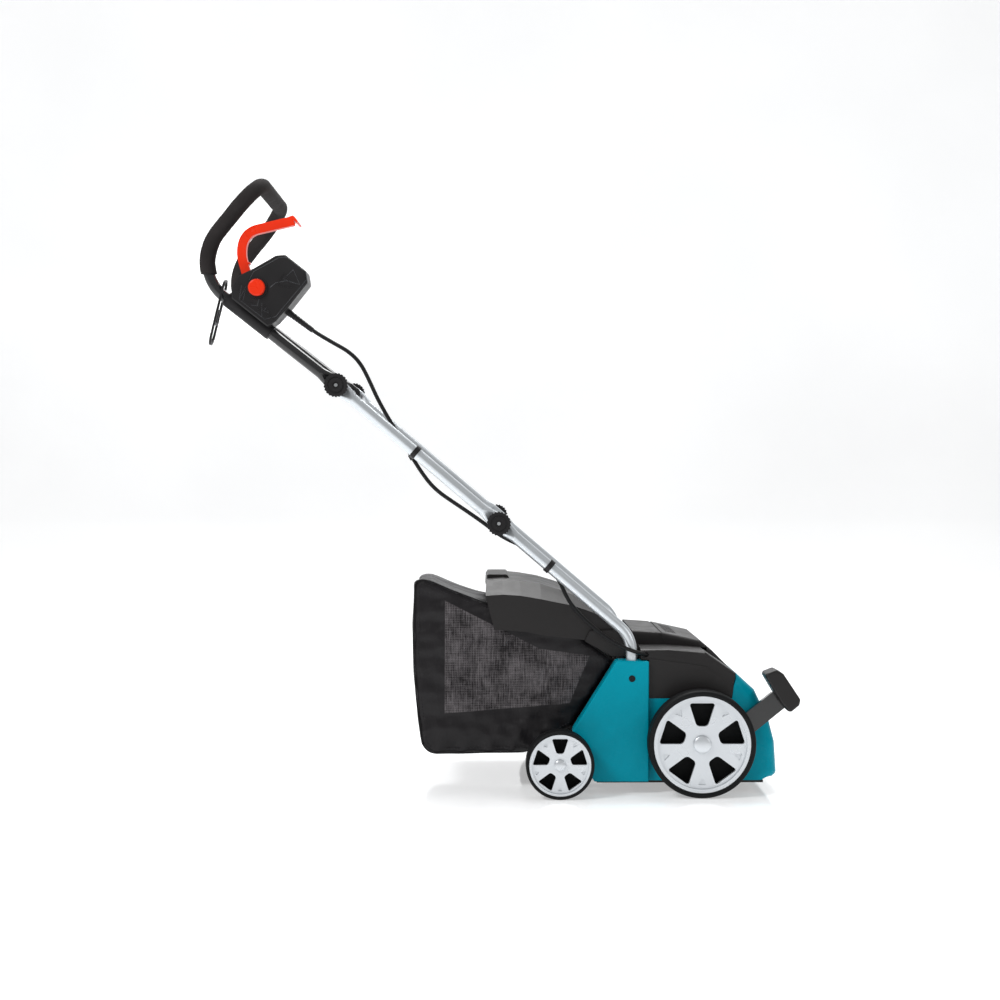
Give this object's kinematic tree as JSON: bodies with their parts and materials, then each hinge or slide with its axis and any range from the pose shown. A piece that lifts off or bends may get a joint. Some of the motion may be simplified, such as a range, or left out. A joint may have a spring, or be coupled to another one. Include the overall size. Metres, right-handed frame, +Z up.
{
  "type": "lawn scarifier",
  "caption": "Electric lawn scarifier with folding tube handle, foam grip, switch box, red lever, wheels, depth lever, teal housing, discharge flap and mesh grass bag.",
  "frame": {"origin": "on the ground under the middle of the overall length and width", "axes": "+X forward, +Y to the operator's left, +Z up"},
  "size_m": [1.0425, 0.52, 1.0805],
  "materials": {
    "teal_plastic": "glossy",
    "black_plastic": "satin",
    "box_plastic": "satin",
    "tyre_rubber": "matt",
    "silver_plastic": "silver paint",
    "silver_tube": "satin",
    "black_tube": "glossy",
    "foam": "matt",
    "lever_red": "glossy",
    "steel": "plain",
    "blade_steel": "plain",
    "cast_aluminium": "cast",
    "lead_sheath": "satin",
    "belt_rubber": "matt",
    "bag_cloth": "mesh and coated cloth",
    "copper_and_steel": "plain"
  },
  "bodies": {
    "chassis": {"deck_shell": "teal_plastic", "pod_right": "teal_plastic", "pod_left": "teal_plastic", "underbody": "black_plastic", "side_panel_right": "black_plastic", "side_panel_left": "black_plastic", "motor_cover": "black_plastic", "motor_can": "steel", "bearing_plate": "cast_aluminium", "rotor_bearings": "steel", "drive_belt": "belt_rubber", "flap_hinge_pin": "steel", "rear_axle": "steel", "rear_hub_caps": "silver_plastic", "lower_tube_right": "silver_tube", "lower_tube_left": "silver_tube", "lower_cable_strap": "black_plastic", "cable_lower": "lead_sheath", "pod_screws": "steel"},
    "motor_rotor": {"motor_armature": "copper_and_steel", "cooling_fan": "black_plastic", "motor_pulley": "steel"},
    "blade_rotor": {"rotor_shaft": "steel", "scarifier_blades": "blade_steel", "rotor_pulley": "cast_aluminium"},
    "wheel_crank": {"crank_axle": "steel", "depth_lever": "black_tube", "depth_lever_pad": "black_plastic", "front_hub_caps": "silver_plastic"},
    "front_right": {"front_wheel_right": "silver_plastic", "front_tyre_right": "tyre_rubber"},
    "front_left": {"front_wheel_left": "silver_plastic", "front_tyre_left": "tyre_rubber"},
    "rear_right": {"rear_wheel_right": "silver_plastic", "rear_tyre_right": "tyre_rubber"},
    "rear_left": {"rear_wheel_left": "silver_plastic", "rear_tyre_left": "tyre_rubber"},
    "mid_handle": {"mid_tube_right": "silver_tube", "mid_tube_left": "silver_tube", "fold_bolts": "steel", "mid_cable_strap": "black_plastic", "cable_mid": "lead_sheath"},
    "upper_handle": {"upper_tube": "black_tube", "foam_grip": "foam", "switch_box_outer": "box_plastic", "switch_box_inner": "box_plastic", "switch_module": "black_plastic", "mains_inlet": "black_plastic", "strain_relief": "black_plastic", "cable_upper": "lead_sheath"},
    "switch_lever_body": {"switch_lever": "lever_red"},
    "lock_button_body": {"lock_button": "lever_red"},
    "lead_hook_body": {"lead_hook": "black_plastic"},
    "flap_body": {"discharge_flap": "black_plastic"},
    "bag_body": {"bag_fabric": "bag_cloth", "bag_frame": "black_plastic"},
    "clamp_lower_right": {"knob_lower_right": "black_plastic"},
    "clamp_lower_left": {"knob_lower_left": "black_plastic"},
    "clamp_upper_right": {"knob_upper_right": "black_plastic"},
    "clamp_upper_left": {"knob_upper_left": "black_plastic"}
  },
  "joints": [
    {"name": "rotor_spin", "type": "hinge", "parent": "chassis", "child": "blade_rotor", "pos_m": [0.29, 0, 0.064], "axis": [0, 1, 0], "continuous": true},
    {"name": "motor_spin", "type": "hinge", "parent": "chassis", "child": "motor_rotor", "pos_m": [0.32, 0, 0.196], "axis": [0, 1, 0], "continuous": true},
    {"name": "depth_crank", "type": "hinge", "parent": "chassis", "child": "wheel_crank", "pos_m": [0.396, 0, 0.093], "axis": [0, 1, 0], "range_deg": [0, 24]},
    {"name": "front_right_spin", "type": "hinge", "parent": "wheel_crank", "child": "front_right", "pos_m": [0.3485, -0.231, 0.093], "axis": [0, 1, 0], "continuous": true},
    {"name": "front_left_spin", "type": "hinge", "parent": "wheel_crank", "child": "front_left", "pos_m": [0.3485, 0.231, 0.093], "axis": [0, 1, 0], "continuous": true},
    {"name": "rear_right_spin", "type": "hinge", "parent": "chassis", "child": "rear_right", "pos_m": [0.1029, -0.241, 0.059], "axis": [0, 1, 0], "continuous": true},
    {"name": "rear_left_spin", "type": "hinge", "parent": "chassis", "child": "rear_left", "pos_m": [0.1029, 0.241, 0.059], "axis": [0, 1, 0], "continuous": true},
    {"name": "mid_fold", "type": "hinge", "parent": "chassis", "child": "mid_handle", "pos_m": [-0.0021, 0, 0.4732], "axis": [0, 1, 0], "range_deg": [0, 110], "deforming": ["cable_mid"]},
    {"name": "upper_fold", "type": "hinge", "parent": "mid_handle", "child": "upper_handle", "pos_m": [-0.2833, 0, 0.7126], "axis": [0, 1, 0], "range_deg": [-110, 0], "deforming": ["cable_upper"]},
    {"name": "switch_lever_turn", "type": "hinge", "parent": "upper_handle", "child": "switch_lever_body", "pos_m": [-0.44, -0.175, 0.902], "axis": [0, 1, 0], "range_deg": [-14, 0], "stiffness_Nm_per_rad": 0.6, "springref_deg": 20.05},
    {"name": "lock_button_push", "type": "slide", "parent": "upper_handle", "child": "lock_button_body", "axis": [0, 1, 0], "range_m": [0, 0.004], "stiffness_N_per_m": 400, "springref_m": -0.002},
    {"name": "lead_hook_swing", "type": "hinge", "parent": "upper_handle", "child": "lead_hook_body", "pos_m": [-0.48894, -0.19, 0.87495], "axis": [-0.7849, 0, 0.6197], "range_deg": [-70, 70]},
    {"name": "flap_turn", "type": "hinge", "parent": "chassis", "child": "flap_body", "pos_m": [0.212, 0, 0.272], "axis": [0, 1, 0], "range_deg": [0, 70]},
    {"name": "bag_removal", "type": "slide", "parent": "chassis", "child": "bag_body", "axis": [-1, 0, 0], "range_m": [0, 0.45]},
    {"name": "clamp_lower_right_turn", "type": "hinge", "parent": "mid_handle", "child": "clamp_lower_right", "pos_m": [-0.0021, -0.215, 0.4732], "axis": [0, 1, 0], "continuous": true},
    {"name": "clamp_lower_left_turn", "type": "hinge", "parent": "mid_handle", "child": "clamp_lower_left", "pos_m": [-0.0021, 0.215, 0.4732], "axis": [0, 1, 0], "continuous": true},
    {"name": "clamp_upper_right_turn", "type": "hinge", "parent": "mid_handle", "child": "clamp_upper_right", "pos_m": [-0.2833, -0.215, 0.7126], "axis": [0, 1, 0], "continuous": true},
    {"name": "clamp_upper_left_turn", "type": "hinge", "parent": "mid_handle", "child": "clamp_upper_left", "pos_m": [-0.2833, 0.215, 0.7126], "axis": [0, 1, 0], "continuous": true}
  ],
  "couplings": [
    {"joint": "motor_spin", "follows": "rotor_spin", "ratio": 3}
  ]
}
